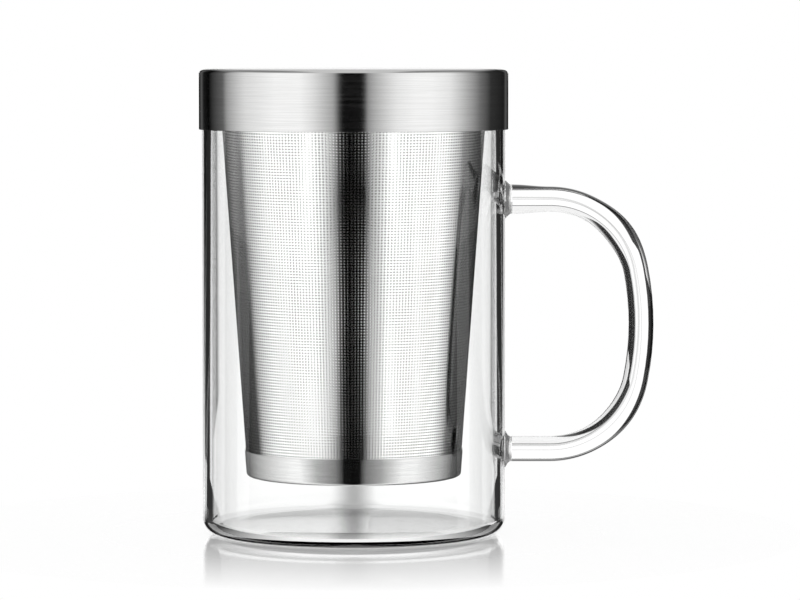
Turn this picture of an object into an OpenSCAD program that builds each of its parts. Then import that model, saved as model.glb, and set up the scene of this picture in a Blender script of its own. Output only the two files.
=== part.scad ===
// Glass tea mug with a lift-out steel infuser and a lift-off steel lid.
// Units are millimetres. +Z is up. The origin is on the mug's axis, on the
// plane that the foot ring stands on, and the handle points along +X.

/* [Glass body] */
// Outer diameter of the glass cylinder
mug_od = 86.4; // [80:0.2:100]
// Thickness of the glass wall
mug_wall = 2.5; // [2.1:0.1:4]
// Height of the glass rim above the table
rim_z = 126; // [119:0.5:150]
// Thickness of the glass floor over the foot ring
floor_t = 2.4; // [2:0.1:5]
// Radius of the outer corner between wall and foot
foot_corner_r = 4.5; // [3:0.1:7]
// Radius of the inner corner between wall and floor
inner_corner_r = 2.4; // [1.6:0.1:5]
// Width of the flat ring that the mug stands on
foot_ring_w = 2; // [1:0.1:4]
// Height of the hollow under the middle of the base
base_kick = 1.2; // [0.5:0.1:2.5]
// Radius that rounds both edges of the rim
rim_round = 0.6; // [0.3:0.05:0.9]

/* [Handle] */
// Height of the lower arm's centre line above the table
handle_low_z = 24; // [18:0.5:28]
// Distance between the centre lines of the two arms
handle_span = 71.4; // [56:0.2:75]
// Distance from the mug's axis to the centre line of the grip
handle_reach = 82; // [76:0.5:92]
// Radius of the centre line at the two bends
bend_r = 25; // [16:0.5:28]
// Radius of the centre line along the slightly bowed grip
grip_bow_r = 80; // [60:1:140]
// Diameter of the glass rod
rod_d = 7.2; // [6:0.1:9]
// Diameter of the rod where the upper arm leaves its weld
upper_root_d = 8.4; // [7.2:0.1:9.2]
// Extra radius of the rod in the middle of the upper bend
upper_swell = 0.5; // [0:0.1:0.8]
// Extra radius of the rod in the middle of the lower bend
lower_swell = 0.2; // [0:0.1:0.8]
// Diameter of each weld where it meets the wall
weld_d = 11; // [10.2:0.1:13]
// How far each weld stands out from the wall
weld_len = 1.9; // [1.6:0.1:3]
// Radius of the hollow where each weld runs out into the rod
weld_fillet_r = 1.5; // [0.8:0.1:1.8]

/* [Infuser basket] */
// Height of the basket's underside above the table
basket_bottom_z = 16.4; // [10:0.2:26]
// Outer radius of the screen cone, taken at the basket's underside
screen_bottom_r = 30.4; // [24:0.2:34]
// Sheet thickness of the wall screen and the floor screen
screen_t = 0.3; // [0.2:0.05:0.5]
// Distance from the glass rim down to the wall screen's upper edge
screen_drop = 6; // [5:0.2:8]
// Sheet thickness of the base ring
band_t = 0.3; // [0.25:0.05:0.5]
// Height of the base ring
band_h = 7.4; // [6:0.2:14]
// Outer radius at the foot of the base ring
band_corner_r = 1; // [0.7:0.1:1.6]
// Height over which the base ring laps the wall screen
band_lap = 4; // [2.4:0.2:4.6]
// Width of the base ring's inner flange, which carries the floor screen
floor_flange_w = 4.5; // [3.6:0.1:7]
// Gap that the weld nuggets leave between two lapped sheets
lap_gap = 0.03; // [0.02:0.01:0.08]
// Distance from the floor screen's edge to the base ring's rounded corner
disc_clear = 0.6; // [0.3:0.1:1]

/* [Screen holes] */
// Number of columns of holes round the wall screen
hole_columns = 48; // [24:1:54]
// Height from one row of holes to the next
row_pitch = 4.5; // [3.8:0.1:9]
// Side of the square holes in the wall screen
hole_side = 2.5; // [1.4:0.1:3]
// Plain margin between the rows of holes and the two lapped edges
row_margin = 0.8; // [0.4:0.1:3]
// Distance between the holes of the floor screen
floor_pitch = 4; // [3.4:0.1:8]
// Side of the square holes in the floor screen
floor_hole_side = 2.3; // [1.4:0.1:3]

/* [Collar] */
// Sheet thickness of the collar
collar_t = 0.6; // [0.4:0.05:0.8]
// Height of the grip band above the glass rim, up to the lid
grip_band_h = 6.1; // [5:0.1:7]
// Height of the folded hem round the top of the grip band
hem_h = 3; // [1.6:0.2:3.6]
// Radius that rounds the edges of the hem
hem_round = 0.3; // [0.1:0.05:0.35]
// Distance from the glass's outer face in to the grip band
grip_setback = 0.9; // [0.8:0.05:1.1]
// Radial clearance between the collar and the inside of the glass
collar_clear = 0.4; // [0.3:0.05:0.6]
// Height of the straight part that centres the collar in the glass
pilot_h = 3.6; // [2:0.2:4.4]
// How far the collar steps in below its straight part
shoulder_in = 1.6; // [1:0.1:2.4]
// Height over which the collar laps the wall screen
collar_lap = 3.6; // [2.4:0.2:4]

/* [Lid] */
// Height of the lid from the skirt's edge to its top
lid_h = 17.3; // [12:0.1:20]
// Sheet thickness of the lid
lid_t = 0.5; // [0.4:0.05:0.8]
// Radial clearance between the skirt and the glass
lid_clear = 0.3; // [0.25:0.05:0.6]
// Outer radius of the lid's top edge
lid_corner_r = 1.4; // [1.2:0.1:2.2]

/* [Hidden] */
$fn = 96;

// Radii and heights of the glass body
mug_r = mug_od / 2;
bore_r = mug_r - mug_wall;
foot_outer_r = mug_r - foot_corner_r;
foot_inner_r = foot_outer_r - foot_ring_w;
floor_edge_r = bore_r - inner_corner_r;

// The handle's centre line lies in the plane y = 0, mirrored about its middle
handle_mid_z = handle_low_z + handle_span / 2;
handle_high_z = handle_low_z + handle_span;
grip_angle = asin((handle_span / 2 - bend_r) / (grip_bow_r - bend_r));
grip_centre_x = handle_reach - grip_bow_r;
bend_centre_x = grip_centre_x + (grip_bow_r - bend_r) * cos(grip_angle);
bend_centre_dz = (grip_bow_r - bend_r) * sin(grip_angle);
rod_r = rod_d / 2;
rod_sides = 24;
bend_steps = 14;
grip_steps = 6;
swell_end = 64;
arm_start_x = mug_r + weld_len;
weld_fillet_turn = 50;

// Sides of the cylinder that shapes the back of a weld, many so that it follows the wall
wall_sides = 360;

// The collar seats on the rim and sets the width of the screen's upper edge
pilot_r = bore_r - collar_clear;
grip_r = mug_r - grip_setback;
collar_top_z = rim_z + grip_band_h;
screen_top_z = rim_z - screen_drop;
screen_top_r = pilot_r - shoulder_in - collar_t - lap_gap;
collar_bottom_z = screen_top_z - collar_lap;

// The cone of the wall screen, and the base ring round its lower edge
screen_slope = (screen_top_r - screen_bottom_r) / (screen_top_z - basket_bottom_z);
cone_angle = atan(screen_slope);
band_top_z = basket_bottom_z + band_h;
screen_low_z = band_top_z - band_lap;
ring_corner_z = basket_bottom_z + band_corner_r;
ring_corner_x = band_r(ring_corner_z) - band_corner_r / cos(cone_angle);
cutter_depth = 4 * screen_t;

// The lid stands on the collar's hem
lid_top_z = collar_top_z + lid_t;
lid_edge_z = lid_top_z - lid_h;
lid_bore_r = mug_r + lid_clear;
lid_r = lid_bore_r + lid_t;

// Outer radius of the wall screen at height z
function screen_r(z) = screen_bottom_r + (z - basket_bottom_z) * screen_slope;

// Outer radius of the base ring at height z
function band_r(z) = screen_r(z) + lap_gap + band_t;

// Points of an arc about [cx, cy], from angle a0 to a1 in degrees
function arc(cx, cy, r, a0, a1, steps = 10) =
    [for (i = [0:steps]) let (a = a0 + (a1 - a0) * i / steps) [cx + r * cos(a), cy + r * sin(a)]];

// Points of a shallow dome from its crown, on the axis at height z, down to radius r
function dome_down(z, r, rise) =
    let (ball_r = (r * r + rise * rise) / (2 * rise))
    arc(0, z - ball_r, ball_r, 90, 90 - asin(r / ball_r));

// The same dome from its edge up to its crown
function dome_up(z, r, rise) =
    let (ball_r = (r * r + rise * rise) / (2 * rise))
    arc(0, z - ball_r, ball_r, 90 - asin(r / ball_r), 90);

// A profile in the r-z plane, turned once round the mug's axis
module turned(profile) {
    rotate_extrude() polygon(profile);
}

// Straight-sided beaker with a rounded foot, a hollow base and a flame-rounded rim
module glass_body() {
    color("lightcyan", 0.35)
    turned(concat(
        dome_down(base_kick, foot_inner_r, base_kick),
        arc(foot_outer_r, foot_corner_r, foot_corner_r, -90, 0),
        arc(mug_r - rim_round, rim_z - rim_round, rim_round, 0, 90, 5),
        arc(bore_r + rim_round, rim_z - rim_round, rim_round, 90, 180, 5),
        arc(floor_edge_r, floor_t + inner_corner_r, inner_corner_r, 0, -90),
        dome_up(floor_t + base_kick, floor_edge_r, base_kick)
    ));
}

// One station of the rod's centre line: [x, z, heading in degrees, radius]
function bend_station(x, z, bend, a, r) = [x + bend * cos(a), z + bend * sin(a), a - 90, r];

// Extra radius that a bend gains as the soft rod is worked, 0 at both ends of the swelling
function swelling(a, most) = a > swell_end ? 0 : most * sin(180 * (a - grip_angle) / (swell_end - grip_angle)) ^ 2;

// Stations along the whole rod, from the upper weld round to the lower one
function handle_stations() = concat(
    [[arm_start_x, handle_high_z, 0, upper_root_d / 2]],
    [for (i = [0:bend_steps]) let (a = 90 + (grip_angle - 90) * i / bend_steps)
        bend_station(bend_centre_x, handle_mid_z + bend_centre_dz, bend_r, a, rod_r + swelling(a, upper_swell))],
    [for (i = [1:grip_steps - 1]) let (a = grip_angle * (1 - 2 * i / grip_steps))
        bend_station(grip_centre_x, handle_mid_z, grip_bow_r, a, rod_r)],
    [for (i = [0:bend_steps]) let (a = grip_angle + (90 - grip_angle) * i / bend_steps)
        bend_station(bend_centre_x, handle_mid_z - bend_centre_dz, bend_r, -a, rod_r + swelling(a, lower_swell))],
    [[arm_start_x, handle_low_z, -180, rod_r]]
);

// Points of the ring round one station
function rod_ring(s) =
    [for (k = [0:rod_sides - 1]) let (b = 360 * k / rod_sides)
        [s[0] - s[3] * sin(s[2]) * cos(b), s[3] * sin(b), s[1] + s[3] * cos(s[2]) * cos(b)]];

// D-shaped handle, bent from one glass rod, as a loft through its stations
module handle() {
    stations = handle_stations();
    last = len(stations) - 1;
    color("lightcyan", 0.35)
    polyhedron(
        points = [for (s = stations) each rod_ring(s)],
        faces = concat(
            [[for (k = [0:rod_sides - 1]) k]],
            [for (i = [0:last - 1], k = [0:rod_sides - 1]) let (next = (k + 1) % rod_sides)
                [i * rod_sides + k, (i + 1) * rod_sides + k, (i + 1) * rod_sides + next, i * rod_sides + next]],
            [[for (k = [rod_sides - 1:-1:0]) last * rod_sides + k]]
        )
    );
}

// Gather of glass that fuses the end of one arm to the wall
module handle_weld(z, root_d) {
    weld_r = weld_d / 2;
    root_r = root_d / 2;
    difference() {
        translate([mug_r, 0, z])
        rotate([0, 90, 0])
        rotate_extrude()
        polygon(concat(
            [[0, -weld_len], [weld_r, -weld_len]],
            [[weld_r, 0]],
            arc(root_r + weld_fillet_r, weld_len, weld_fillet_r, 180 + weld_fillet_turn, 180, 6),
            [[0, weld_len]]
        ));
        translate([0, 0, z - weld_d])
        cylinder(h = 2 * weld_d, r = mug_r, $fn = wall_sides);
    }
}

// Weld of the upper arm, whose rod is thicker at its root
module upper_handle_weld() {
    color("lightcyan", 0.35) handle_weld(handle_high_z, upper_root_d);
}

// Weld of the lower arm
module lower_handle_weld() {
    color("lightcyan", 0.35) handle_weld(handle_low_z, rod_d);
}

// Drawn ring that hangs on the glass rim: hemmed grip band, flange, pilot, shoulder and lap
module infuser_collar() {
    hem_r = grip_r - 2 * collar_t;
    hem_z = collar_top_z - hem_round;
    lap_r = screen_r(collar_bottom_z) + lap_gap;
    neck_r = screen_top_r + lap_gap;
    color("silver")
    turned(concat(
        [[lap_r, collar_bottom_z], [lap_r + collar_t, collar_bottom_z]],
        [[neck_r + collar_t, screen_top_z], [pilot_r, rim_z - pilot_h], [pilot_r, rim_z]],
        arc(grip_r - hem_round, rim_z + hem_round, hem_round, -90, 0, 4),
        arc(grip_r - hem_round, hem_z, hem_round, 0, 90, 4),
        arc(hem_r + hem_round, hem_z, hem_round, 90, 180, 4),
        [[hem_r, collar_top_z - hem_h], [grip_r - collar_t, collar_top_z - hem_h]],
        [[grip_r - collar_t, rim_z + collar_t], [pilot_r - collar_t, rim_z + collar_t]],
        [[pilot_r - collar_t, rim_z - pilot_h], [neck_r, screen_top_z]]
    ));
}

// Plain sheet of the wall screen between two heights
module screen_sheet(low_z, high_z) {
    turned([
        [screen_r(low_z) - screen_t, low_z],
        [screen_r(low_z), low_z],
        [screen_r(high_z), high_z],
        [screen_r(high_z) - screen_t, high_z]
    ]);
}

// One row of square holes, with a plain strip left where the sheet's seam is welded
module screen_row(z) {
    difference() {
        screen_sheet(z - row_pitch / 2, z + row_pitch / 2);
        for (column = [1:hole_columns - 1])
            rotate([0, 0, column * 360 / hole_columns])
            translate([screen_r(z), 0, z])
            cube([cutter_depth, hole_side, hole_side], center = true);
    }
}

// Etched sheet rolled into a cone: the fine screen that holds the leaves back
module wall_screen() {
    rows = floor((collar_bottom_z - band_top_z - 2 * row_margin) / row_pitch);
    rows_low_z = (collar_bottom_z + band_top_z - rows * row_pitch) / 2;
    color("gainsboro") {
        screen_sheet(screen_low_z, rows_low_z);
        for (row = [0:rows - 1]) screen_row(rows_low_z + (row + 0.5) * row_pitch);
        screen_sheet(rows_low_z + rows * row_pitch, screen_top_z);
    }
}

// Drawn ring round the screen's foot, with an inner flange for the floor screen
module base_ring() {
    flange_r = band_r(basket_bottom_z) - floor_flange_w;
    color("silver")
    turned(concat(
        [[flange_r, basket_bottom_z]],
        arc(ring_corner_x, ring_corner_z, band_corner_r, -90, -cone_angle, 6),
        [[band_r(band_top_z), band_top_z], [band_r(band_top_z) - band_t, band_top_z]],
        arc(ring_corner_x, ring_corner_z, band_corner_r - band_t, -cone_angle, -90, 6),
        [[flange_r, basket_bottom_z + band_t]]
    ));
}

// Etched disc that lies on the base ring's flange and closes the basket
module floor_screen() {
    disc_r = ring_corner_x - disc_clear;
    hole_zone_r = band_r(basket_bottom_z) - floor_flange_w - floor_hole_side;
    disc_z = basket_bottom_z + band_t + lap_gap;
    reach = floor(hole_zone_r / floor_pitch);
    color("gainsboro")
    translate([0, 0, disc_z])
    difference() {
        cylinder(h = screen_t, r = disc_r);
        for (i = [-reach:reach], j = [-reach:reach])
            if (norm([i, j]) * floor_pitch < hole_zone_r)
                translate([i * floor_pitch, j * floor_pitch, screen_t / 2])
                cube([floor_hole_side, floor_hole_side, cutter_depth], center = true);
    }
}

// Deep-drawn cap: a flat top, a rounded edge and a straight skirt
module lid_shell() {
    corner_x = lid_r - lid_corner_r;
    corner_z = lid_top_z - lid_corner_r;
    color("silver")
    turned(concat(
        [[0, collar_top_z]],
        arc(corner_x, corner_z, lid_corner_r - lid_t, 90, 0, 8),
        [[lid_bore_r, lid_edge_z], [lid_r, lid_edge_z]],
        arc(corner_x, corner_z, lid_corner_r, 0, 90, 8),
        [[0, lid_top_z]]
    ));
}

glass_body();
handle();
upper_handle_weld();
lower_handle_weld();
infuser_collar();
wall_screen();
base_ring();
floor_screen();
lid_shell();
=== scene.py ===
# %% [markdown]
# # A lidded glass tea mug with a steel infuser
#
# The mug was designed in CAD as nine separate parts. This lesson gives each of
# them the shape detail and the finish of the real thing, and then sets the mug
# up in a small white studio. Nothing is moved: every size below is either read
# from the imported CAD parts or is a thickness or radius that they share.

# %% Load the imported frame
import math

import bmesh
import bpy
from mathutils import Matrix, Vector, noise


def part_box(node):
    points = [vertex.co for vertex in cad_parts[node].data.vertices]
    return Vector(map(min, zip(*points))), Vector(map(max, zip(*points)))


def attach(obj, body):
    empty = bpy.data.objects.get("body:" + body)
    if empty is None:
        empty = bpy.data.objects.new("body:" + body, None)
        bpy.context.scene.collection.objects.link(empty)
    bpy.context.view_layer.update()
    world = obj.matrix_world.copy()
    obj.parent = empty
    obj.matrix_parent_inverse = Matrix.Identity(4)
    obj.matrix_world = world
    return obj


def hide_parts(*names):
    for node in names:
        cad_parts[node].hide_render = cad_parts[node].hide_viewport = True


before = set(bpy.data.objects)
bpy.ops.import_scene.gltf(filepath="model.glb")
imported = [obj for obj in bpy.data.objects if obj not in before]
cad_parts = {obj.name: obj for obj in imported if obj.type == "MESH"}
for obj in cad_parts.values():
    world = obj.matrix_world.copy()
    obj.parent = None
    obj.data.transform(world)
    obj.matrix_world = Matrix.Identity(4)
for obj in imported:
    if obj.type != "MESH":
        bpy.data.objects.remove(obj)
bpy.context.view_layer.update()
MM = 0.001
print("CAD nodes:", len(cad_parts))

# %% [markdown]
# ## Sizes
#
# The CAD boxes hold the radii and heights of the parts. A round part that is
# centred on the mug's axis has its outer radius as the far side of its box.

# %% Read the sizes of the parts
def top_bottom_radius(node):
    """Lowest height, highest height and outer radius of a round CAD part."""
    low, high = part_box(node)
    return low[2], high[2], high[1]


_, rim_z, mug_r = top_bottom_radius("glass_body")
collar_low_z, collar_top_z, grip_r = top_bottom_radius("infuser_collar")
screen_low_z, screen_top_z, screen_top_r = top_bottom_radius("wall_screen")
basket_z, band_top_z, band_top_r = top_bottom_radius("base_ring")
disc_low_z, disc_high_z, disc_r = top_bottom_radius("floor_screen")
lid_edge_z, lid_top_z, lid_r = top_bottom_radius("lid_shell")
handle_low, handle_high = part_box("handle")
weld_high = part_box("upper_handle_weld")
weld_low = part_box("lower_handle_weld")
print("mug radius", round(mug_r / MM, 2), "rim height", round(rim_z / MM, 2))
print("lid radius", round(lid_r / MM, 2))

# %% Thicknesses and small radii
WALL = 2.5 * MM
FLOOR = 2.4 * MM
KICK = 1.2 * MM
FOOT_ROUND = 4.5 * MM
FOOT_RING = 2.0 * MM
INNER_ROUND = 2.4 * MM
RIM_ROUND = 0.6 * MM
LID_SHEET = 0.5 * MM
LID_ROUND = 1.4 * MM
COLLAR_SHEET = 0.6 * MM
SCREEN_SHEET = 0.3 * MM
RING_SHEET = 0.3 * MM
RING_ROUND = 1.0 * MM
RING_FLANGE = 4.5 * MM
print("glass wall", round(WALL / MM, 2), "screen sheet", round(SCREEN_SHEET / MM, 2))

# %% [markdown]
# ## Turned shapes
#
# The glass, the lid, the collar and the base ring are round, so each is half a
# section spun about the mug's axis. Modelling from a cylinder would need many
# loop cuts, while a section is the drawing that a glassmaker or a press shop
# works from. Rounded corners are arcs of that section.

# %% A section, spun about the axis
SPIN_STEPS = 256
SHARP_DEG = 35
SAME_POINT = 1e-7


def arc(centre_r, centre_z, radius, start, end, steps=10):
    """Points of an arc in the section, from one angle to another in degrees."""
    turns = [math.radians(start + (end - start) * i / steps) for i in range(steps + 1)]
    return [(centre_r + radius * math.cos(t), centre_z + radius * math.sin(t)) for t in turns]


def to_object(bm, name):
    """Closes seams, turns faces outwards, smooths what is round and links the piece."""
    bmesh.ops.remove_doubles(bm, verts=bm.verts, dist=SAME_POINT)
    bmesh.ops.recalc_face_normals(bm, faces=bm.faces)
    for face in bm.faces:
        face.smooth = True
    for edge in bm.edges:
        edge.smooth = edge.calc_face_angle(0.0) < math.radians(SHARP_DEG)
    mesh = bpy.data.meshes.new(name)
    bm.to_mesh(mesh)
    bm.free()
    piece = bpy.data.objects.new(name, mesh)
    bpy.context.scene.collection.objects.link(piece)
    print(name, "has", len(mesh.polygons), "faces")
    return piece


def turned(name, section, steps=SPIN_STEPS):
    """Spins a section of (radius, height) points once round the mug's axis."""
    bm = bmesh.new()
    corners = [bm.verts.new((r, 0.0, z)) for r, z in section]
    pairs = list(zip(corners, corners[1:]))
    if section[0][0] > 0:
        pairs.append((corners[-1], corners[0]))
    edges = [bm.edges.new(pair) for pair in pairs]
    bmesh.ops.spin(bm, geom=corners + edges, cent=(0, 0, 0), axis=(0, 0, 1),
                   angle=math.tau, steps=steps, use_merge=True)
    return to_object(bm, name)


# %% [markdown]
# ## The glass beaker
#
# A borosilicate beaker has straight walls, a small rounded foot, a hollow base
# that stands on a narrow ring, and a rim that was rounded in a flame. The CAD
# part has the same section; it is turned again here in many fine steps, because
# clear glass shows every facet twice, once on each side of its wall.

# %% Turn the beaker
bore_r = mug_r - WALL
foot_r = mug_r - FOOT_ROUND
floor_edge_r = bore_r - INNER_ROUND


def dome(crown_z, edge_r, rise, steps=12):
    """Points of a shallow dome from its crown on the axis down to its edge."""
    ball_r = (edge_r ** 2 + rise ** 2) / (2 * rise)
    edge_deg = math.degrees(math.asin(edge_r / ball_r))
    return [(0.0, crown_z)] + arc(0.0, crown_z - ball_r, ball_r, 90, 90 - edge_deg, steps)[1:]


beaker_section = (
    dome(KICK, foot_r - FOOT_RING, KICK)
    + arc(foot_r, FOOT_ROUND, FOOT_ROUND, -90, 0, 14)
    + arc(mug_r - RIM_ROUND, rim_z - RIM_ROUND, RIM_ROUND, 0, 90, 6)
    + arc(bore_r + RIM_ROUND, rim_z - RIM_ROUND, RIM_ROUND, 90, 180, 6)
    + arc(floor_edge_r, FLOOR + INNER_ROUND, INNER_ROUND, 0, -90, 12)
    + dome(FLOOR + KICK, floor_edge_r, KICK)[::-1]
)
beaker = turned("glass_beaker", beaker_section)

# %% [markdown]
# ## The handle
#
# The handle is one glass rod, bent by hand into a D and fused to the wall at
# both ends. Its centre line is two straight arms, two bends and a slightly
# bowed grip. A ring of vertices is extruded along that line, and its radius
# changes on the way: the soft rod swells in the bends and flares into the welds.

# %% The centre line of the rod
BEND_R = 25 * MM
BOW_R = 80 * MM
ROD_R = 3.6 * MM
ROOT_R = 4.2 * MM
WELD_R = 5.5 * MM
UPPER_SWELL = 0.5 * MM
LOWER_SWELL = 0.2 * MM
SWELL_END_DEG = 64

low_arm_z = (weld_low[0][2] + weld_low[1][2]) / 2
high_arm_z = (weld_high[0][2] + weld_high[1][2]) / 2
middle_z = (low_arm_z + high_arm_z) / 2
half_span = (high_arm_z - low_arm_z) / 2
reach = handle_high[0] - ROD_R
arm_start = handle_low[0]
bow_deg = math.degrees(math.asin((half_span - BEND_R) / (BOW_R - BEND_R)))
bow_x = reach - BOW_R
bend_x = bow_x + (BOW_R - BEND_R) * math.cos(math.radians(bow_deg))
bend_dz = (BOW_R - BEND_R) * math.sin(math.radians(bow_deg))


def outside(x, z):
    """How far a point lies on the outer side of the rod's centre line, in rod radii."""
    height = abs(z - middle_z)
    bow_ends_at = max(0.0, (x - bow_x) * math.tan(math.radians(bow_deg)))
    if x < bend_x:
        off = height - half_span
    elif height > bow_ends_at:
        off = math.hypot(x - bend_x, height - bend_dz) - BEND_R
    else:
        off = math.hypot(x - bow_x, height) - BOW_R
    return off / ROD_R


def station(x, z, heading_deg, radius):
    """Places a unit ring on the centre line, facing along it."""
    face_along_x = Matrix.Rotation(math.radians(90), 4, "Y")
    turn = Matrix.Rotation(-math.radians(heading_deg), 4, "Y") @ face_along_x
    return Matrix.Translation((x, 0, z)) @ turn @ Matrix.Diagonal((radius, radius, 1, 1))


def on_arc(x, z, bend, deg, radius):
    """The station at one angle of an arc, where the rod runs clockwise round it."""
    t = math.radians(deg)
    return station(x + bend * math.cos(t), z + bend * math.sin(t), deg - 90, radius)


def swell(deg, most):
    """Extra radius in a bend, nothing at both ends of the swelling."""
    share = (deg - bow_deg) / (SWELL_END_DEG - bow_deg)
    return most * math.sin(math.pi * min(share, 1.0)) ** 2


# %% The stations from the upper weld round to the lower one
BEND_STEPS = 28
GRIP_STEPS = 8
ARM_STEPS = 10
bend_angles = [90 + (bow_deg - 90) * i / BEND_STEPS for i in range(BEND_STEPS + 1)]
rod_stations = [
    station(arm_start + (bend_x - arm_start) * i / ARM_STEPS, high_arm_z, 0,
            ROD_R + (ROOT_R - ROD_R) * (1 + math.cos(math.pi * i / ARM_STEPS)) / 2)
    for i in range(ARM_STEPS)
]
rod_stations += [
    on_arc(bend_x, middle_z + bend_dz, BEND_R, a, ROD_R + swell(a, UPPER_SWELL))
    for a in bend_angles
]
rod_stations += [
    on_arc(bow_x, middle_z, BOW_R, bow_deg * (1 - 2 * i / GRIP_STEPS), ROD_R)
    for i in range(1, GRIP_STEPS)
]
rod_stations += [
    on_arc(bend_x, middle_z - bend_dz, BEND_R, -a, ROD_R + swell(a, LOWER_SWELL))
    for a in reversed(bend_angles)
]
rod_stations += [
    station(bend_x + (arm_start - bend_x) * i / ARM_STEPS, low_arm_z, -180, ROD_R)
    for i in range(1, ARM_STEPS + 1)
]
print("rod stations:", len(rod_stations))

# %% Extrude a ring along the stations
ROD_SIDES = 48


def lofted(name, stations, sides=ROD_SIDES):
    """Extrudes a round end cap from station to station, and caps the far end."""
    bm = bmesh.new()
    bmesh.ops.create_circle(bm, cap_ends=True, segments=sides, radius=1.0, matrix=stations[0])
    ring = list(bm.edges)
    for here, there in zip(stations, stations[1:]):
        grown = bmesh.ops.extrude_edge_only(bm, edges=ring)["geom"]
        ring = [g for g in grown if isinstance(g, bmesh.types.BMEdge)]
        points = [g for g in grown if isinstance(g, bmesh.types.BMVert)]
        bmesh.ops.transform(bm, matrix=there @ here.inverted(), verts=points)
    bmesh.ops.edgeloop_fill(bm, edges=ring)
    return to_object(bm, name)


rod = lofted("glass_handle", rod_stations)

# %% [markdown]
# The finish of the rod needs two facts that only its shape knows, so they are
# kept on the mesh as attributes. "outside" runs from -1 on the inner side of the
# D to 1 on its outer side. "level" is 1 where the rod runs level, in the arms,
# and falls to 0 where it stands upright, in the grip.

# %% Note the side and the course of the rod
side_of_line = rod.data.attributes.new("outside", "FLOAT", "POINT")
share_of_arm = rod.data.attributes.new("level", "FLOAT", "POINT")
for vertex in rod.data.vertices:
    side_of_line.data[vertex.index].value = outside(vertex.co.x, vertex.co.z)
    past_arm = max(0.0, vertex.co.x - bend_x) / (BEND_R + ROD_R)
    share_of_arm.data[vertex.index].value = math.sqrt(1 - min(1.0, past_arm) ** 2)
print("rod attributes:", side_of_line.name, share_of_arm.name)

# %% [markdown]
# ## The welds
#
# Where an arm meets the wall, a gather of soft glass spreads over the wall and
# sets with small ripples. Each weld is a short loft like the rod, whose rings
# are then pushed in and out by a smooth noise.

# %% Loft the two welds
WELD_IN = 0.6 * MM
WELD_TUCK = 0.96
WELD_FILLET = 1.5 * MM
FILLET_TURN = 50
RIPPLE = 0.25 * MM
RIPPLE_SIZE = 1.9 * MM


def weld(name, arm_z, root_r):
    """A rippled gather of glass from just inside the wall's face out to the rod."""
    tucked_in = (mug_r - WELD_IN, WELD_R * WELD_TUCK)
    outline = [tucked_in, (mug_r - WELD_IN / 2, WELD_R), (mug_r, WELD_R)]
    fillet_r = root_r + WELD_FILLET
    fillet = arc(fillet_r, arm_start, WELD_FILLET, 180 + FILLET_TURN, 180, 8)
    outline += [(x, r) for r, x in fillet]
    piece = lofted(name, [station(x, arm_z, 0, r) for x, r in outline])
    for vertex in piece.data.vertices:
        share = (arm_start - vertex.co.x) / (arm_start - mug_r)
        push = noise.noise(vertex.co / RIPPLE_SIZE) * RIPPLE * max(0.0, min(1.0, share))
        side = Vector((0, vertex.co.y, vertex.co.z - arm_z))
        vertex.co += side.normalized() * push
    return piece


upper_weld = weld("glass_upper_weld", high_arm_z, ROOT_R)
lower_weld = weld("glass_lower_weld", low_arm_z, ROD_R)

# %% [markdown]
# ## The lid
#
# The lid is deep drawn: one steel sheet pressed into a cup with a flat top, a
# small even radius and a straight skirt. Its section follows both faces of the
# sheet, so the raw lower edge of the skirt shows its real thickness.

# %% Turn the lid
lid_corner_r = lid_r - LID_ROUND
lid_corner_z = lid_top_z - LID_ROUND
EDGE_ROUND = 0.15 * MM
lid_section = (
    [(0.0, lid_top_z - LID_SHEET)]
    + arc(lid_corner_r, lid_corner_z, LID_ROUND - LID_SHEET, 90, 0, 8)
    + arc(lid_r - LID_SHEET + EDGE_ROUND, lid_edge_z + EDGE_ROUND, EDGE_ROUND, 180, 270, 3)
    + arc(lid_r - EDGE_ROUND, lid_edge_z + EDGE_ROUND, EDGE_ROUND, -90, 0, 3)
    + arc(lid_corner_r, lid_corner_z, LID_ROUND, 0, 90, 12)
    + [(0.0, lid_top_z)]
)
lid = turned("steel_lid", lid_section)

# %% [markdown]
# ## The collar
#
# The collar hangs the infuser on the glass rim. From below, its section laps
# the screen, steps out to a straight part that centres it in the glass, turns
# out over the rim and stands up as a grip band with a folded hem on top.

# %% Turn the collar
PILOT_CLEAR = 0.4 * MM
PILOT_H = 3.6 * MM
HEM_H = 3.0 * MM
HEM_ROUND = 0.3 * MM
LAP_GAP = 0.03 * MM
pilot_r = bore_r - PILOT_CLEAR
neck_r = screen_top_r + LAP_GAP
basket_foot_r = band_top_r - RING_SHEET - LAP_GAP
screen_slope = (screen_top_r - basket_foot_r) / (screen_top_z - band_top_z)


def screen_r(z):
    """Outer radius of the screen's cone at a height."""
    return screen_top_r + (z - screen_top_z) * screen_slope


lap_r = screen_r(collar_low_z) + LAP_GAP
hem_r = grip_r - 2 * COLLAR_SHEET
hem_z = collar_top_z - HEM_ROUND
collar_section = (
    [(lap_r, collar_low_z), (lap_r + COLLAR_SHEET, collar_low_z)]
    + [(neck_r + COLLAR_SHEET, screen_top_z), (pilot_r, rim_z - PILOT_H), (pilot_r, rim_z)]
    + arc(grip_r - HEM_ROUND, rim_z + HEM_ROUND, HEM_ROUND, -90, 0, 4)
    + arc(grip_r - HEM_ROUND, hem_z, HEM_ROUND, 0, 90, 4)
    + arc(hem_r + HEM_ROUND, hem_z, HEM_ROUND, 90, 180, 4)
    + [(hem_r, collar_top_z - HEM_H), (grip_r - COLLAR_SHEET, collar_top_z - HEM_H)]
    + [(grip_r - COLLAR_SHEET, rim_z + COLLAR_SHEET)]
    + [(pilot_r - COLLAR_SHEET, rim_z + COLLAR_SHEET)]
    + [(pilot_r - COLLAR_SHEET, rim_z - PILOT_H), (neck_r, screen_top_z)]
)
collar = turned("steel_collar", collar_section)

# %% [markdown]
# ## The base ring
#
# A plain drawn ring closes the foot of the basket. It is spot welded over the
# screen's lower edge, so it stands proud of the screen by its own thickness.

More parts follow.
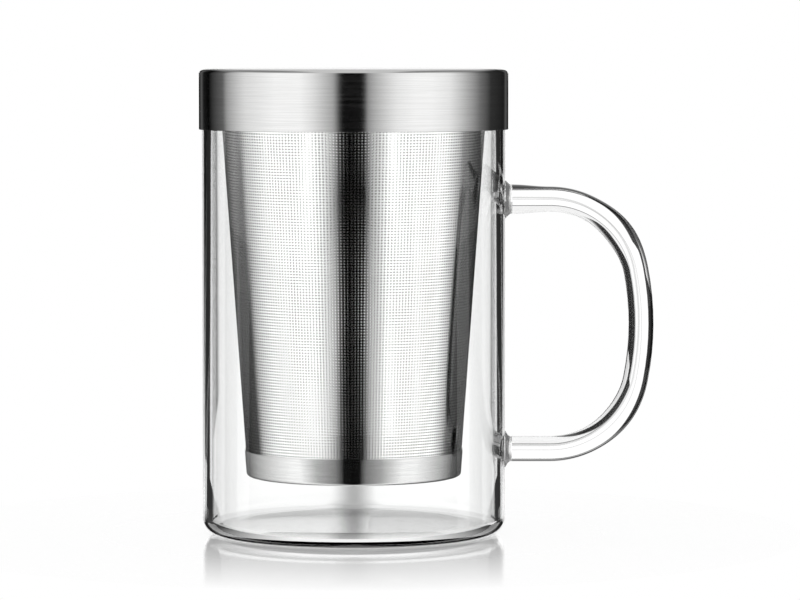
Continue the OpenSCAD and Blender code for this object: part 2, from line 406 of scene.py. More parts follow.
# %% Turn the base ring
cone_deg = math.degrees(math.atan(screen_slope))


def ring_r(z):
    """Outer radius of the base ring at a height."""
    return screen_r(z) + LAP_GAP + RING_SHEET


corner_z = basket_z + RING_ROUND
corner_r = ring_r(corner_z) - RING_ROUND / math.cos(math.radians(cone_deg))
flange_r = ring_r(basket_z) - RING_FLANGE
ring_section = (
    [(flange_r, basket_z)]
    + arc(corner_r, corner_z, RING_ROUND, -90, -cone_deg, 8)
    + [(ring_r(band_top_z), band_top_z), (ring_r(band_top_z) - RING_SHEET, band_top_z)]
    + arc(corner_r, corner_z, RING_ROUND - RING_SHEET, -cone_deg, -90, 8)
    + [(flange_r, basket_z + RING_SHEET)]
)
base_ring = turned("steel_base_ring", ring_section)

# %% [markdown]
# ## The screens
#
# The screens are etched: acid eats thousands of square holes, each about half a
# millimetre wide, through a thin sheet. A texture with transparent dots would
# look flat from the side, so the holes are real. A grid has every second face
# of every second row deleted and is rolled into a cone. Only then, with its
# normals brought up to date, is it given its thickness, which goes inwards from
# the outer face. One sheet of that many faces is too heavy for one mesh, so it
# is made in four quarters. The first quarter has the plain seam.

# %% A flat sheet of square holes
COLUMNS = 240
SEAM_COLUMNS = 2
ROW_PITCH = 0.81 * MM
QUARTERS = 4
HOLE_SHARE = 0.52


def holed_grid(columns, rows, plain_columns=0):
    """A grid two faces wide per column and per row, with one face in four removed."""
    bm = bmesh.new()
    bmesh.ops.create_grid(bm, x_segments=2 * columns, y_segments=2 * rows + 1, size=0.5)
    holes = []
    for face in bm.faces:
        middle = face.calc_center_median()
        across = int((middle.x + 0.5) * 2 * columns)
        up = int((middle.y + 0.5) * (2 * rows + 1))
        if across % 2 and up % 2 and across // 2 >= plain_columns:
            holes.append(face)
    bmesh.ops.delete(bm, geom=holes, context="FACES")
    return bm


# %% Roll each quarter into the cone
PLAIN_FOOT = 0.25 * MM
UNDER_LAP = 0.6 * MM
holes_low_z = band_top_z + PLAIN_FOOT
holes_high_z = collar_low_z + UNDER_LAP
rows = round((holes_high_z - holes_low_z) / ROW_PITCH)


def line_height(index):
    """Height of one horizontal line of the grid: plain edges, and rows of holes between."""
    if index == 0:
        return screen_low_z
    if index == 2 * rows + 1:
        return screen_top_z
    row, upper = divmod(index - 1, 2)
    return holes_low_z + (row + upper * HOLE_SHARE) * ROW_PITCH


def line_turn(index, quarter):
    """Angle of one vertical line of the grid, in radians round from the seam."""
    column, right = divmod(index, 2)
    columns_before = quarter * COLUMNS / QUARTERS
    return (columns_before + column + right * (1 - HOLE_SHARE)) * math.tau / COLUMNS


def screen_quarter(quarter):
    """One quarter of the wall screen, with the plain seam in the first quarter."""
    columns = COLUMNS // QUARTERS
    bm = holed_grid(columns, rows, plain_columns=SEAM_COLUMNS if quarter == 0 else 0)
    for vertex in bm.verts:
        across = round((vertex.co.x + 0.5) * 2 * columns)
        up = round((vertex.co.y + 0.5) * (2 * rows + 1))
        z = line_height(up)
        turn = line_turn(across, quarter)
        vertex.co = (screen_r(z) * math.cos(turn), screen_r(z) * math.sin(turn), z)
    bm.normal_update()
    bmesh.ops.solidify(bm, geom=bm.faces[:], thickness=SCREEN_SHEET)
    return to_object(bm, "steel_wall_screen_" + "abcd"[quarter])


wall_screens = [screen_quarter(quarter) for quarter in range(QUARTERS)]
print("rows of holes:", rows, "holes:", rows * (COLUMNS - SEAM_COLUMNS))

# %% Cut the floor screen from a square sheet
DISC_PITCH = 0.9 * MM
DISC_CUTS = 72
DISC_TRIM = 0.999
disc_columns = int(2 * disc_r / DISC_PITCH) + 1


def floor_disc():
    """A round disc whose holes stop short of the flange that carries it."""
    bm = bmesh.new()
    cells = 2 * disc_columns + 1
    bmesh.ops.create_grid(bm, x_segments=cells, y_segments=cells, size=cells * DISC_PITCH / 4)
    zone_r = flange_r - DISC_PITCH / 2
    holes = []
    for face in bm.faces:
        middle = face.calc_center_median()
        across = round(middle.x / (DISC_PITCH / 2))
        up = round(middle.y / (DISC_PITCH / 2))
        if across % 2 and up % 2 and middle.length < zone_r:
            holes.append(face)
    bmesh.ops.delete(bm, geom=holes, context="FACES")
    for cut in range(DISC_CUTS):
        turn = math.tau * cut / DISC_CUTS
        out = Vector((math.cos(turn), math.sin(turn), 0))
        everything = bm.verts[:] + bm.edges[:] + bm.faces[:]
        bmesh.ops.bisect_plane(bm, geom=everything, plane_co=out * disc_r * DISC_TRIM,
                               plane_no=out, clear_outer=True)
    bmesh.ops.translate(bm, verts=bm.verts, vec=(0, 0, disc_high_z))
    bmesh.ops.recalc_face_normals(bm, faces=bm.faces)
    bmesh.ops.solidify(bm, geom=bm.faces[:], thickness=disc_high_z - disc_low_z)
    return to_object(bm, "steel_floor_screen")


floor_screen = floor_disc()

# %% [markdown]
# ## Shader maths
#
# A finish is easier to read as arithmetic than as a tangle of nodes. The class
# below wraps an output socket, so that a sum, a product or a comparison of
# wrapped values adds its own Math node. A comparison gives 1 where it holds and
# 0 elsewhere. Such a value is called a mask: the product of two masks is 1 where
# both hold, and a bar between them is 1 where either does.

# %% A socket that can be added, multiplied and compared
class Value:
    """One output socket, with the arithmetic of Math nodes."""

    def __init__(self, shop, socket):
        self.shop = shop
        self.socket = socket

    def math(self, operation, *others):
        """One Math node, on this value and on others or plain numbers."""
        return self.shop.math(operation, self, *others)

    def __add__(self, other):
        return self.math("ADD", other)

    def __sub__(self, other):
        return self.math("SUBTRACT", other)

    def __rsub__(self, other):
        return self.shop.math("SUBTRACT", other, self)

    def __mul__(self, other):
        return self.math("MULTIPLY", other)

    def __truediv__(self, other):
        return self.math("DIVIDE", other)

    def __gt__(self, other):
        return self.math("GREATER_THAN", other)

    def __lt__(self, other):
        return self.math("LESS_THAN", other)

    def __or__(self, other):
        return self.math("MAXIMUM", other)

    def __abs__(self):
        return self.math("ABSOLUTE")

    __radd__ = __add__
    __rmul__ = __mul__

    def at_least(self, count):
        """1 where a whole number has reached a count, told by the half below it."""
        return self > count - 0.5

    def below(self, count):
        """1 where a whole number hasn't reached a count."""
        return self < count - 0.5


# %% [markdown]
# Every other node comes from one method of the workshop, node(), which sets a
# node's settings before its sockets, because a setting can change which sockets
# there are. The nodes that are used often have a short method of their own.

# %% A workshop that makes the nodes
class Workshop:
    """Makes the nodes of one material or world."""

    def __init__(self, owner):
        owner.use_nodes = True
        self.owner = owner
        self.tree = owner.node_tree
        self.tree.nodes.clear()

    def node(self, kind, settings=None, sockets=None):
        """Adds a node: its settings first, then a value or a link for each socket."""
        made = self.tree.nodes.new("ShaderNode" + kind)
        for key, setting in (settings or {}).items():
            setattr(made, key, setting)
        for key, given in (sockets or {}).items():
            if isinstance(given, Value):
                self.tree.links.new(given.socket, made.inputs[key])
            else:
                made.inputs[key].default_value = given
        return made

    def out(self, kind, output, settings=None, sockets=None):
        """Adds a node and wraps one of its outputs."""
        return Value(self, self.node(kind, settings, sockets).outputs[output])

    def math(self, operation, *numbers):
        """One Math node on values or plain numbers."""
        return self.out("Math", 0, {"operation": operation}, dict(enumerate(numbers)))

    def mix(self, factor, first, second):
        """A colour that goes from the first to the second as the factor goes from 0 to 1."""
        sockets = {"Factor": factor, "A": first, "B": second}
        return self.out("Mix", "Result", {"data_type": "RGBA"}, sockets)

    def blend(self, factor, first, second):
        """A shader that goes from the first to the second as the factor goes from 0 to 1."""
        return self.out("MixShader", 0, {}, {0: factor, 1: first, 2: second})

    def fade(self, value, start, end, low=0.0, high=1.0, soft=True):
        """A level that goes from low to high while a value goes from start to end."""
        settings = {"interpolation_type": "SMOOTHSTEP" if soft else "LINEAR"}
        return self.out("MapRange", 0, settings, {
            "Value": value, "From Min": start, "From Max": end, "To Min": low, "To Max": high})

    def noise(self, point, size, detail):
        """Soft noise whose blotches have a size in metres."""
        sockets = {"Vector": point, "Scale": 1 / size, "Detail": detail}
        return self.out("TexNoise", "Fac", {}, sockets)

    def bump(self, height, depth):
        """The slant that a height gives to a face, where a height of 1 is one depth."""
        sockets = {"Strength": 1.0, "Distance": depth, "Height": height}
        return self.out("Bump", "Normal", {}, sockets)

    def glow(self, color, strength=1.0):
        """A surface that shines by itself."""
        return self.out("Emission", 0, {}, {"Color": color, "Strength": strength})

    def clear(self):
        """A surface that light crosses as if it weren't there."""
        return self.out("BsdfTransparent", 0)

    def attribute(self, name):
        """A number that is kept on the mesh."""
        settings = {"attribute_type": "GEOMETRY", "attribute_name": name}
        return self.out("Attribute", "Fac", settings)

    def split(self, point):
        """The x, y and z of a point."""
        made = self.node("SeparateXYZ", {}, {0: point})
        return [Value(self, made.outputs[axis]) for axis in range(3)]

    def place(self):
        """Object coordinates, whole and split into x, y and z."""
        point = self.out("TexCoord", "Object")
        return point, self.split(point)

    def finish(self, shader, kind="Material"):
        """Ends the tree in its output node."""
        self.node("Output" + kind, {}, {"Surface": shader})
        return self.owner


def new_material(name):
    """An empty material, ready for its nodes."""
    return Workshop(bpy.data.materials.new(name))


# %% A grey ramp
def grey_ramp(shop, value, stops):
    """A grey ramp over 0 to 1, with at most 32 stops of (position, level)."""
    ramp = shop.node("ValToRGB", {}, {0: value})
    elements = ramp.color_ramp.elements
    for element, (position, level) in zip(elements, (stops[0], stops[-1])):
        element.position = position
        element.color = (level, level, level, 1)
    for position, level in stops[1:-1]:
        elements.new(position).color = (level, level, level, 1)
    return Value(shop, ramp.outputs["Color"])


# %% [markdown]
# ## Clear glass
#
# Borosilicate glass is colourless and very smooth, with an index of 1.47. Its
# only texture is a slight waviness left by the blowing, too shallow to see as
# shape, but enough to make the reflections swim. A soft, large noise gives that
# as a bump.
#
# The handle is fused to its welds, and the welds to the wall. No air divides
# glass that is fused, so light isn't bent there. Where two such pieces touch,
# a mask makes their faces clear and lets light straight on. A weld is also a
# small thick lump, which bends nearly all light away and would look black, so a
# share of the light goes straight through the whole of it.

# %% Faces that are fused
GLASS_INDEX = 1.47
GLASS_COLOR = (0.997, 1.0, 0.998, 1)
WAVE_DETAIL = 2.0
FUSED = 0.005 * MM
WELD_COVER = 0.985


def in_either_weld(x, y, z):
    """1 where a point of the wall lies under one of the two welds."""
    upper, lower = [(y * y + (z - arm_z) * (z - arm_z)) < (WELD_R * WELD_COVER) ** 2
                    for arm_z in (high_arm_z, low_arm_z)]
    return (upper | lower) * (x > mug_r - WELD_IN)


def in_end_faces(x, y, z):
    """1 on the two flat ends of a weld."""
    return (x < mug_r - WELD_IN + FUSED) | (x > arm_start - FUSED)


def fused_glass(shop, color, bump, fused):
    """Clear glass, with a mask of the faces that are fused to other glass."""
    surface = shop.out("BsdfPrincipled", "BSDF", {}, {
        "Base Color": color, "Roughness": 0.0, "IOR": GLASS_INDEX,
        "Transmission Weight": 1.0, "Normal": bump,
    })
    return shop.finish(shop.blend(fused, surface, shop.clear()))


# %% The beaker's and the welds' glass
def glass(name, wave_size, wave_depth, where_fused, straight=0.0):
    """Clear glass with a waviness, and a share of light that goes straight on."""
    shop = new_material(name)
    point, (x, y, z) = shop.place()
    bump = shop.bump(shop.noise(point, wave_size, WAVE_DETAIL), wave_depth)
    return fused_glass(shop, GLASS_COLOR, bump, where_fused(x, y, z) | straight)


beaker_glass = glass("beaker_glass", wave_size=30 * MM, wave_depth=0.02 * MM,
                     where_fused=in_either_weld)
weld_glass = glass("weld_glass", wave_size=1.0 * MM, wave_depth=0.10 * MM,
                   where_fused=in_end_faces, straight=0.4)
print("plain glass:", beaker_glass.name, weld_glass.name)

# %% [markdown]
# A glass rod is a strong lens. Across its width it squeezes the whole room, and draws it out
# along the rod as lines: dark ones near both edges, and a faint line down the middle. The few
# panels of this room don't give all of them, so they are painted into the glass's colour as a
# tint: a painted reflection of the room, not lines in the glass itself. It runs across the rod
# from its inner side to its outer side, with one ramp for the level arms and one for the
# upright grip.

# %% The rod's glass, with painted reflection lines
ROD_WAVE = 9 * MM
ROD_WAVE_DEPTH = 0.03 * MM
ROD_ARM_PAINTED_LINES = [
    (0.0, 0.75), (0.245, 0.75), (0.255, 0.04), (0.275, 0.04), (0.29, 1.0), (0.48, 1.0),
    (0.495, 0.45), (0.505, 0.45), (0.52, 1.0), (0.86, 1.0), (0.87, 0.0), (0.89, 0.0),
    (0.90, 0.25), (0.91, 0.25), (0.92, 0.0), (1.0, 0.0),
]
ROD_GRIP_PAINTED_LINES = [
    (0.0, 0.03), (0.10, 0.03), (0.17, 1.0), (0.475, 1.0), (0.49, 0.5), (0.50, 0.5),
    (0.515, 1.0), (0.85, 1.0), (0.91, 0.03), (1.0, 0.03),
]


def rod_glass_with_painted_lines():
    """Rod glass with painted reflection: long dark lines in its arms and a painted line down
    its grip.
    """
    shop = new_material("rod_glass")
    point, (x, _, _) = shop.place()
    across = shop.attribute("outside") * 0.5 + 0.5
    # painted reflection: dark lines of the refracted room, painted into the glass's colour
    lines = grey_ramp(shop, across, ROD_ARM_PAINTED_LINES)
    painted_grip_lines = grey_ramp(shop, across, ROD_GRIP_PAINTED_LINES)
    painted_line_tint = shop.mix(shop.attribute("level"), painted_grip_lines, lines)
    bump = shop.bump(shop.noise(point, ROD_WAVE, WAVE_DETAIL), ROD_WAVE_DEPTH)
    return fused_glass(shop, painted_line_tint, bump, x < arm_start + FUSED)


rod_glass = rod_glass_with_painted_lines()
print("lined glass:", rod_glass.name)

# %% [markdown]
# ## Brushed steel
#
# The lid and the base ring are brushed on a lathe: a belt leaves fine scratches
# that run round the part. Scratches blur a reflection across their own
# direction, so a lamp becomes a tall vertical streak. Two things make that
# here. The anisotropy of the shader stretches the highlight, and a noise that is
# very fine in height and slow round the axis draws the lines themselves.
#
# The face of the drawn ring also leans in a little towards its foot. The shape
# leaves that out and stays on the screen's cone, but a lean moves every
# reflection, so the finish has it: a height that grows steadily with z tips the
# whole face.

# %% Brushed steel
STEEL_COLOR = (0.92, 0.92, 0.915, 1)
STEEL_SHADE = (0.84, 0.84, 0.835, 1)
RING_LEAN_DEG = 4.0
SCRATCH_WAVES = 2.5
SCRATCH_DETAIL = 3.0
SCRATCH_ROUGHNESS = 0.6
SCRATCH_RANGE = (0.35, 0.65)
BELT_PULL = 0.8
QUARTER_TURN = 0.25


def brushed_steel(name, line_height, line_depth, roughness, scratched=0.10, lean_deg=0.0):
    """Steel with scratches that run round the mug's axis, on a face that may lean in."""
    shop = new_material(name)
    _, (x, y, z) = shop.place()
    turn = y.math("ARCTAN2", x)
    out = (x * x + y * y).math("SQRT")
    at = shop.out("CombineXYZ", 0, {}, {
        0: turn * SCRATCH_WAVES, 1: z / line_height, 2: out / line_height})
    lines = shop.out("TexNoise", "Fac", {}, {
        "Vector": at, "Scale": 1.0, "Detail": SCRATCH_DETAIL, "Roughness": SCRATCH_ROUGHNESS})
    strong = shop.fade(lines, *SCRATCH_RANGE, soft=False)
    height = lines * line_depth + z * math.tan(math.radians(lean_deg))
    surface = shop.out("BsdfPrincipled", "BSDF", {}, {
        "Base Color": shop.mix(strong, STEEL_SHADE, STEEL_COLOR), "Metallic": 1.0,
        "Roughness": roughness + strong * scratched, "Anisotropic": BELT_PULL,
        "Anisotropic Rotation": QUARTER_TURN, "Normal": shop.bump(height, 1.0),
    })
    return shop.finish(surface)


lid_steel = brushed_steel("brushed_lid_steel", line_height=0.30 * MM,
                          line_depth=0.003 * MM, roughness=0.06)
ring_steel = brushed_steel("brushed_ring_steel", line_height=0.30 * MM, line_depth=0.003 * MM,
                           roughness=0.03, scratched=0.04, lean_deg=RING_LEAN_DEG)
collar_steel = brushed_steel("turned_collar_steel", line_height=0.20 * MM,
                             line_depth=0.002 * MM, roughness=0.08)
print("brushed steel:", lid_steel.name, ring_steel.name, collar_steel.name)

# %% [markdown]
# ## Etched steel
#
# The screens' sheet is rolled bright before it is etched, so its face is nearly a mirror, with
# a faint bloom from the bath. The walls of the holes are eaten rough, and their colour is
# painted nearly black as painted shade inside the holes. They are found by depth: what lies
# between the sheet's outer face and its inner face is the wall of a hole.

# %% Etched steel
HOLE_WALL = 0.02 * MM
HOLE_SHADE_COLOR = (0.10, 0.10, 0.10, 1)
HOLE_ROUGHNESS = 0.3
ROLLED_ROUGHNESS = 0.06
BLOOM = 7 * MM
BLOOM_DETAIL = 3.0
BLOOM_ROUGHNESS = 0.04
GRAIN = 0.15 * MM
GRAIN_DETAIL = 1.0
GRAIN_DEPTH = 0.001 * MM


def etched_steel():
    """Thin sheet, rolled bright, with a faint bloom, and rough walls in its holes painted dark
    as shade.
    """
    shop = new_material("etched_screen_steel")
    point, (x, y, z) = shop.place()
    depth = screen_r(z) - (x * x + y * y).math("SQRT")
    in_hole = (depth > HOLE_WALL) * (depth < SCREEN_SHEET - HOLE_WALL)
    bloom = shop.noise(point, BLOOM, BLOOM_DETAIL) * BLOOM_ROUGHNESS
    surface = shop.out("BsdfPrincipled", "BSDF", {}, {
        # the hole walls' nearly black colour is painted shade; their extra roughness is real
        "Base Color": shop.mix(in_hole, STEEL_COLOR, HOLE_SHADE_COLOR), "Metallic": 1.0,
        "Roughness": bloom + ROLLED_ROUGHNESS + in_hole * HOLE_ROUGHNESS,
        "Normal": shop.bump(shop.noise(point, GRAIN, GRAIN_DETAIL), GRAIN_DEPTH),
    })
    return shop.finish(surface)


screen_steel = etched_steel()
print("etched steel:", screen_steel.name)

# %% [markdown]
# ## Dress the parts
#
# Each new piece takes the place of the CAD part that it is named for, and rides on the same
# body.

# %% Put every piece on its body
def dress(piece, body, slot, material, *nodes):
    """Gives a piece its finish, its body and the CAD parts that it stands for."""
    piece.data.materials.append(material)
    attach(piece, body)
    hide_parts(*nodes)


dress(beaker, "mug", "clear_glass", beaker_glass, "glass_body")
dress(rod, "mug", "clear_glass", rod_glass, "handle")
dress(upper_weld, "mug", "clear_glass", weld_glass, "upper_handle_weld")
dress(lower_weld, "mug", "clear_glass", weld_glass, "lower_handle_weld")
dress(collar, "infuser", "brushed_steel", collar_steel, "infuser_collar")
dress(base_ring, "infuser", "brushed_steel", ring_steel, "base_ring")
dress(floor_screen, "infuser", "etched_steel", screen_steel, "floor_screen")
for quarter in wall_screens:
    dress(quarter, "infuser", "etched_steel", screen_steel, "wall_screen")
dress(lid, "lid", "brushed_steel", lid_steel, "lid_shell")
print("dressed the mug, the lid, and an infuser of", len(wall_screens), "screen quarters")

# %% [markdown]
# ## The studio
#
# Glass and polished steel have no colour of their own: they show the room. A
# plain white room would make the glass vanish, so the studio has white panels
# with dark gaps between them, and the world is that room. It has no lamps: the
# world alone lights the mug.
#
# Each surface is given the room that suits it. That is possible because the
# Light Path node counts how often a ray was reflected and how many faces of
# glass it has crossed. Each wall has two faces, so a ray that crossed one or
# two has met a single wall, and one that crossed three or more has also been
# inside the mug. From five on, it has most likely crossed the handle as well.

# %% What has happened to a ray
class Ray:
    """What has happened to a ray on its way, and which surfaces it met."""

    def __init__(self, shop):
        self.shop = shop
        self.path = shop.node("LightPath")
        self.reflected = self.told("Glossy Depth")
        self.in_glass = self.told("Transmission Depth")
        self.off_glass = self.told("Is Singular Ray") * self.in_glass.below(1)
        self.in_wall = self.in_glass.at_least(1) * self.in_glass.below(3)
        self.behind_glass = self.in_glass.at_least(3)
        self.met_steel = self.reflected.at_least(1) * (1 - (self.in_wall | self.off_glass))

    def told(self, output):
        """One output of the Light Path node."""
        return Value(self.shop, self.path.outputs[output])


class Direction:
    """Where in the room a ray ends, and its turn in degrees from the camera's side."""

    def __init__(self, shop):
        self.x, y, self.z = shop.split(shop.out("TexCoord", "Generated"))
        self.turn = self.x.math("ARCTAN2", y * -1.0) * (180 / math.pi)
        self.off_front = abs(self.turn)


# %% [markdown]
# Steel sees broad soft panels beside the camera, with a narrow dark gap for the
# camera itself, a strip light overhead and the white backdrop behind. The lid,
# the screens and the base ring each have their own set of panels. The ring's
# set is dimmer, because its face leans in more than the screens' and mirrors
# what lies lower. How steeply a ray falls, allowing for its turn, tells which
# of the two it was mirrored by.

# %% The panels that steel reflects
SOFT_PANELS = [
    (-180, 0.0), (-165, 0.0), (-156, 0.10), (-149, 0.01), (-136, 0.0), (-113, 0.12),
    (-108, 0.34), (-95, 0.61), (-87, 0.77), (-59.5, 1.0), (-39.5, 1.0), (-30.5, 0.83),
    (-21.5, 0.58), (-14.5, 0.40), (-10, 0.06), (-7.5, 0.0), (6.5, 0.0), (9, 0.05),
    (11.3, 0.30), (16.5, 0.47), (27.5, 0.76), (33.5, 0.89), (46.5, 1.0), (60, 1.0),
    (76, 0.87), (94, 0.45), (109, 0.16), (124, 0.03), (151, 0.01), (158, 0.10),
    (167, 0.0), (180, 0.0),
]
SCREEN_PANELS = [
    (-180, 0.0), (-168, 0.0), (-148, 0.01), (-136, 0.03), (-118, 0.06), (-108, 0.44),
    (-95, 0.66), (-87, 0.75), (-60, 1.0), (-45, 1.0), (-35, 0.78), (-25, 0.55),
    (-16, 0.22), (-12, 0.02), (-8, 0.0), (10, 0.0), (14, 0.15), (17, 0.33),
    (22, 0.45), (28, 0.62), (35, 0.90), (46, 1.0), (60, 1.0), (76, 0.95),
    (90, 0.80), (103, 0.46), (112, 0.15), (120, 0.06), (136, 0.04), (156, 0.03),
    (168, 0.0), (180, 0.0),
]
RING_PANELS = [
    (-180, 0.0), (-150, 0.08), (-120, 0.30), (-90, 0.52), (-70, 0.66), (-60, 0.66),
    (-40, 0.30), (-20, 0.15), (-10, 0.0), (7, 0.0), (14, 0.13), (30, 0.25),
    (55, 0.64), (70, 0.65), (100, 0.38), (130, 0.08), (160, 0.01), (180, 0.0),
]
SIGHT_FALL = 0.1
LEAST_COSINE = 0.2
RING_LEAN = 0.275


def compass_ramp(shop, turn, stops):
    """A grey ramp over the compass: stops are (degrees from the camera's side, level)."""
    around = [(degrees / 360.0 + 0.5, level) for degrees, level in stops]
    return grey_ramp(shop, turn / 360.0 + 0.5, around)


def steel_panels(shop, end, ray):
    """The lid's panels, or those of the screens and the ring behind the glass."""
    half_turn = end.turn * (math.pi / 360)
    lean = (end.z * -1.0 - SIGHT_FALL) / half_turn.math("COSINE").math("MAXIMUM", LEAST_COSINE)
    on_ring = (lean > RING_LEAN) * ray.reflected.below(2)
    inside = shop.mix(on_ring, compass_ramp(shop, end.turn, SCREEN_PANELS),
                      compass_ramp(shop, end.turn, RING_PANELS))
    return shop.mix(ray.behind_glass, compass_ramp(shop, end.turn, SOFT_PANELS), inside)


# %% [markdown]
# Glass takes some light from each reflection behind it, so the panels are
# brighter there. Two kinds of ray get less light. One was mirrored twice by the
# basket's steel before it met the backdrop, and would leave a bright ghost in
# the dark parts of the screen. The other crossed the handle's glass as well as
# the wall's, and would draw a ghost of the handle beside it.

# %% The room that steel reflects
STRIP_HALF = 0.35
STRIP_SOFT = 0.2
STRIP_LEVEL = 0.6
CEILING_LEVEL = 0.25
CEILING_Z = (0.35, 0.6)
BACKDROP_TURN = 168.0
GLASS_GAIN = 1.8
GLASS_LEVEL = 1.48
TWICE_MIRRORED_LEVEL = 0.1
PAST_HANDLE = 5
PAST_HANDLE_LEVEL = (0.12, 0.12, 0.12, 1)


def soft_room(shop, end, ray, panels, joint):
    """Panels all round, a strip light overhead along the line of sight, and the backdrop."""
    once = ray.reflected.below(2)
    twice = ray.reflected.at_least(2)
    gain = ray.behind_glass * once * (GLASS_GAIN - 1) + 1
    panels = (panels * gain).math("MINIMUM", GLASS_LEVEL)
    ceiling = shop.fade(abs(end.x), STRIP_HALF, STRIP_HALF + STRIP_SOFT,
                        STRIP_LEVEL, CEILING_LEVEL)
    overhead = shop.fade(end.z, *CEILING_Z)
    room = shop.mix(overhead, panels, ceiling)
    over_horizon = (end.z > 0.0) | ray.behind_glass
    on_backdrop = (end.off_front > BACKDROP_TURN) * over_horizon * (1 - overhead)
    backdrop = joint * (1 - twice * ray.behind_glass * (1 - TWICE_MIRRORED_LEVEL))
    seen = shop.mix(on_backdrop, room, backdrop)
    past_handle = ray.in_glass.at_least(PAST_HANDLE) * (end.x > 0.0)
    return shop.mix(past_handle, seen, PAST_HANDLE_LEVEL)


# %% [markdown]
# Clear glass bends the room behind it, so behind the mug there is a ring of
# narrower panels. Straight through the glass it is white. Where the glass bends
# the view by more than half a panel, it turns dark and draws its own outline.
# A ray that a glass face mirrors towards the camera's side sees the soft panels
# instead. Down the backdrop runs a joint between two boards, just off the
# middle, which shows as a faint grey line through the glass.

# %% The panels behind the glass
PANEL_PERIOD = 90.0
PANEL_HALF = 21.5
LOW_PANEL_PERIOD = 45.0
LOW_PANEL_HALF = 14.0
LOW_RING_Z = -0.15
PANEL_SOFT = 3.0
GAP_LEVEL = 0.03
OVERHEAD_Z = (0.35, 0.55)
PAPER_LEVEL = 1.12
FRONT_TURN = 90.0
OFF_GLASS_TURN = 130.0
JOINT_TURN = 180 - 0.64
JOINT_HALF = 0.75
JOINT_LEVEL = 0.45


def ring_of_panels(shop, turn, period, half):
    """White panels all round, with dark gaps between them."""
    off_centre = turn.math("PINGPONG", period / 2)
    return shop.fade(off_centre, half - PANEL_SOFT / 2, half + PANEL_SOFT / 2, 1.0, GAP_LEVEL)


def backlight(shop, end, ray, panels, joint):
    """Tall panels behind, narrow ones lower down, white overhead, soft panels in front."""
    tall = ring_of_panels(shop, end.turn, PANEL_PERIOD, PANEL_HALF)
    low = ring_of_panels(shop, end.turn, LOW_PANEL_PERIOD, LOW_PANEL_HALF)
    is_low = end.z < LOW_RING_Z
    ring = low * is_low + tall * (1 - is_low)
    overhead = shop.fade(end.z, *OVERHEAD_Z, soft=False)
    behind = (ring * joint | overhead) * PAPER_LEVEL
    front_reach = ray.off_glass * (OFF_GLASS_TURN - FRONT_TURN) + FRONT_TURN
    in_front = (end.off_front < front_reach) * ray.reflected.at_least(1)
    return shop.mix(in_front, behind, panels * (end.z > 0.0))


def backdrop_joint(shop, end, ray):
    """The level of the joint between two boards, which shows only through the glass."""
    off_joint = abs(end.turn + JOINT_TURN)
    return shop.fade(off_joint, 0.0, JOINT_HALF, JOINT_LEVEL, 1.0) | (1 - ray.behind_glass)


# %% [markdown]
# The camera sees plain white, and what the matt table sees is nearly white. Rays
# that crossed the clear film over the table, which comes below, were mirrored
# by the table's polish: they are dimmer, as a mirrored mug on white acrylic is.

# %% The world
DIFFUSE_LEVEL = 0.85
MIRRORED_LEVEL = 0.28
MIRRORED_Z = 0.05


def studio_world():
    """White for the camera, soft panels for steel, and a ring of panels for glass."""
    shop = Workshop(bpy.data.worlds.new("studio_room"))
    end = Direction(shop)
    ray = Ray(shop)
    panels = steel_panels(shop, end, ray)
    joint = backdrop_joint(shop, end, ray)
    seen = shop.mix(ray.met_steel, backlight(shop, end, ray, panels, joint),
                    soft_room(shop, end, ray, panels, joint))
    over_film = ray.told("Transparent Depth").at_least(1) * ray.in_glass.at_least(1)
    seen = shop.mix(over_film * (end.z > MIRRORED_Z), seen, seen * MIRRORED_LEVEL)
    plain = ray.told("Is Diffuse Ray") * DIFFUSE_LEVEL | ray.told("Is Camera Ray")
    light = shop.mix(plain > 0.0, seen, plain)
    room = shop.out("Background", 0, {}, {"Color": light, "Strength": 1.0})
    return shop.finish(room, "World")


bpy.context.scene.world = studio_world()
print("world:", bpy.context.scene.world.name)

# %% [markdown]
# ## The table
#
# The mug stands on a small round table top of white acrylic. It is just larger
# than what the camera sees in front of the mug, and it fades into the white of
# the room at its edge, so that no horizon shows. Close to the mug it is
# slightly polished and mirrors the foot. Steel does not see it, so that the
# infuser mirrors the panels down to its foot.
#
# A clear film lies just above it. It can't be seen, but Light Path counts it,
# and so the rays that the table mirrored can be told from the others.

# %% The table top and the film over it
TABLE_R = 150 * MM
TABLE_SIDES = 128
FILM_DROP = 0.01 * MM
TABLE_DROP = 0.02 * MM


def round_sheet(name, drop):
    """A flat round sheet, just below the height of the foot ring."""
    bm = bmesh.new()
    bmesh.ops.create_circle(bm, cap_ends=True, segments=TABLE_SIDES, radius=TABLE_R)
    bmesh.ops.translate(bm, verts=bm.verts, vec=(0, 0, -drop))
    return to_object(bm, name)


film = round_sheet("clear_film", FILM_DROP)
film_shop = new_material("clear_film")
film.data.materials.append(film_shop.finish(film_shop.clear()))
table = round_sheet("table_top", TABLE_DROP)

# %% [markdown]
# Seen directly, the acrylic is part mirror and part lit sheet. Seen through the mug's floor it
# glows, with a painted image of the backdrop's joint, a grey stripe, across it. In the rounded
# corner of the foot, the glass bends the view to the left and right of the mug, where the
# table is painted dark as painted shade, which gives the foot its dark corners. That painted
# shade ends just past the wall, so that the handle doesn't show it.

# %% The acrylic's finish
WHITE = (1, 1, 1, 1)
MIRROR_START = 44 * MM
MIRROR_END = 128 * MM
MIRROR_SHARE = 0.62
MIRROR_NONE = 0.001
POLISH = 0.05
TABLE_GLOW = 0.80
TABLE_COLOR = (0.24, 0.24, 0.24, 1)
FLOOR_SEES_R = 50 * MM
CORNER_SEES_R = (50 * MM, 85 * MM)
CORNER_PAST_WALL = 2 * MM
SIDE_SHADE_X = (16 * MM, 41 * MM)
SIDE_SHADE_LEVEL = 0.06
STRIPE_X = -0.85 * MM
STRIPE_HALF = (1 * MM, 8 * MM)


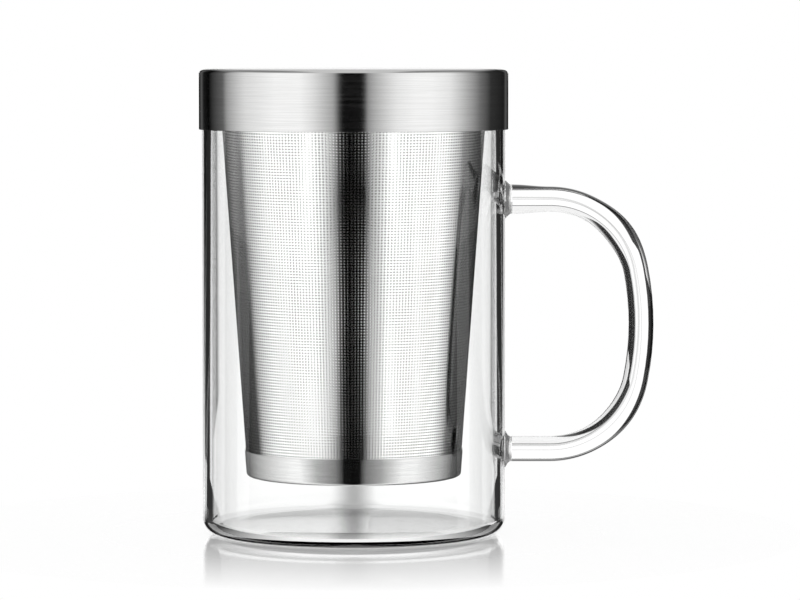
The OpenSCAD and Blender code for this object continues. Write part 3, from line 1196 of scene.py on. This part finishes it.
def polished_acrylic(shop, far):
    """A lit white sheet, polished near the mug and plain white at its edge."""
    near = shop.fade(far, MIRROR_END, MIRROR_START, soft=False)
    body = shop.out("BsdfDiffuse", 0, {}, {"Color": TABLE_COLOR})
    lit = shop.out("AddShader", 0, {}, {0: body, 1: shop.glow(WHITE, TABLE_GLOW)})
    mirror = shop.out("BsdfGlossy", 0, {}, {"Color": WHITE, "Roughness": POLISH})
    polished = shop.blend(near * MIRROR_SHARE, lit, mirror)
    return shop.blend(near < MIRROR_NONE, polished, shop.glow(WHITE))


def under_the_glass(shop, x, far, ray):
    """What glass shows of the table: a painted image of the backdrop's joint through its
    floor, and painted shade to the sides in its corner.
    """
    # painted reflection: the backdrop's joint, painted on the table under the mug's floor
    painted_joint_stripe = shop.fade(abs(x - STRIPE_X), *STRIPE_HALF, JOINT_LEVEL, 1.0)
    through_floor = ray.behind_glass * (far < FLOOR_SEES_R)
    floor = shop.blend(through_floor, shop.clear(), shop.glow(painted_joint_stripe))
    beyond = shop.fade(far, *CORNER_SEES_R)
    in_corner = ray.in_wall * (1 - beyond) * (x < mug_r + CORNER_PAST_WALL)
    # painted shade: the table glows darker to the left and right, seen only through the
    # glass's corner
    painted_side_shade = shop.fade(abs(x), *SIDE_SHADE_X, 1.0, SIDE_SHADE_LEVEL, soft=False)
    return shop.blend(in_corner, floor, shop.glow(painted_side_shade))


def acrylic():
    """The table's finish, which steel and the outer faces of glass don't see."""
    shop = new_material("white_acrylic")
    _, (x, y, _) = shop.place()
    far = (x * x + y * y).math("SQRT")
    ray = Ray(shop)
    seen = shop.blend(ray.in_glass.at_least(1), polished_acrylic(shop, far),
                      under_the_glass(shop, x, far, ray))
    return shop.finish(shop.blend(ray.met_steel | ray.off_glass, seen, shop.clear()))


table.data.materials.append(acrylic())

# %% [markdown]
# ## Camera
#
# The camera looks through a long lens from a little above the lid, and stands so
# far away that the mug's sides stay nearly parallel. Its aim is beside the axis,
# because the handle takes up room on the right.

# %% Place the camera
CAMERA_BACK = 1185 * MM
CAMERA_UP = 139 * MM
AIM_X = 13.2 * MM
AIM_Z = 66.6 * MM
LENS = 187.2

camera_data = bpy.data.cameras.new("studio_camera")
camera = bpy.data.objects.new("studio_camera", camera_data)
bpy.context.scene.collection.objects.link(camera)
camera_data.lens = LENS
camera.location = (AIM_X, -CAMERA_BACK, CAMERA_UP)
sight = Vector((AIM_X, 0, AIM_Z)) - camera.location
camera.rotation_euler = sight.to_track_quat("-Z", "Y").to_euler()
bpy.context.scene.camera = camera
bpy.context.scene.view_settings.view_transform = "Standard"
print("camera lens", LENS, "from", round(sight.length, 3), "m")
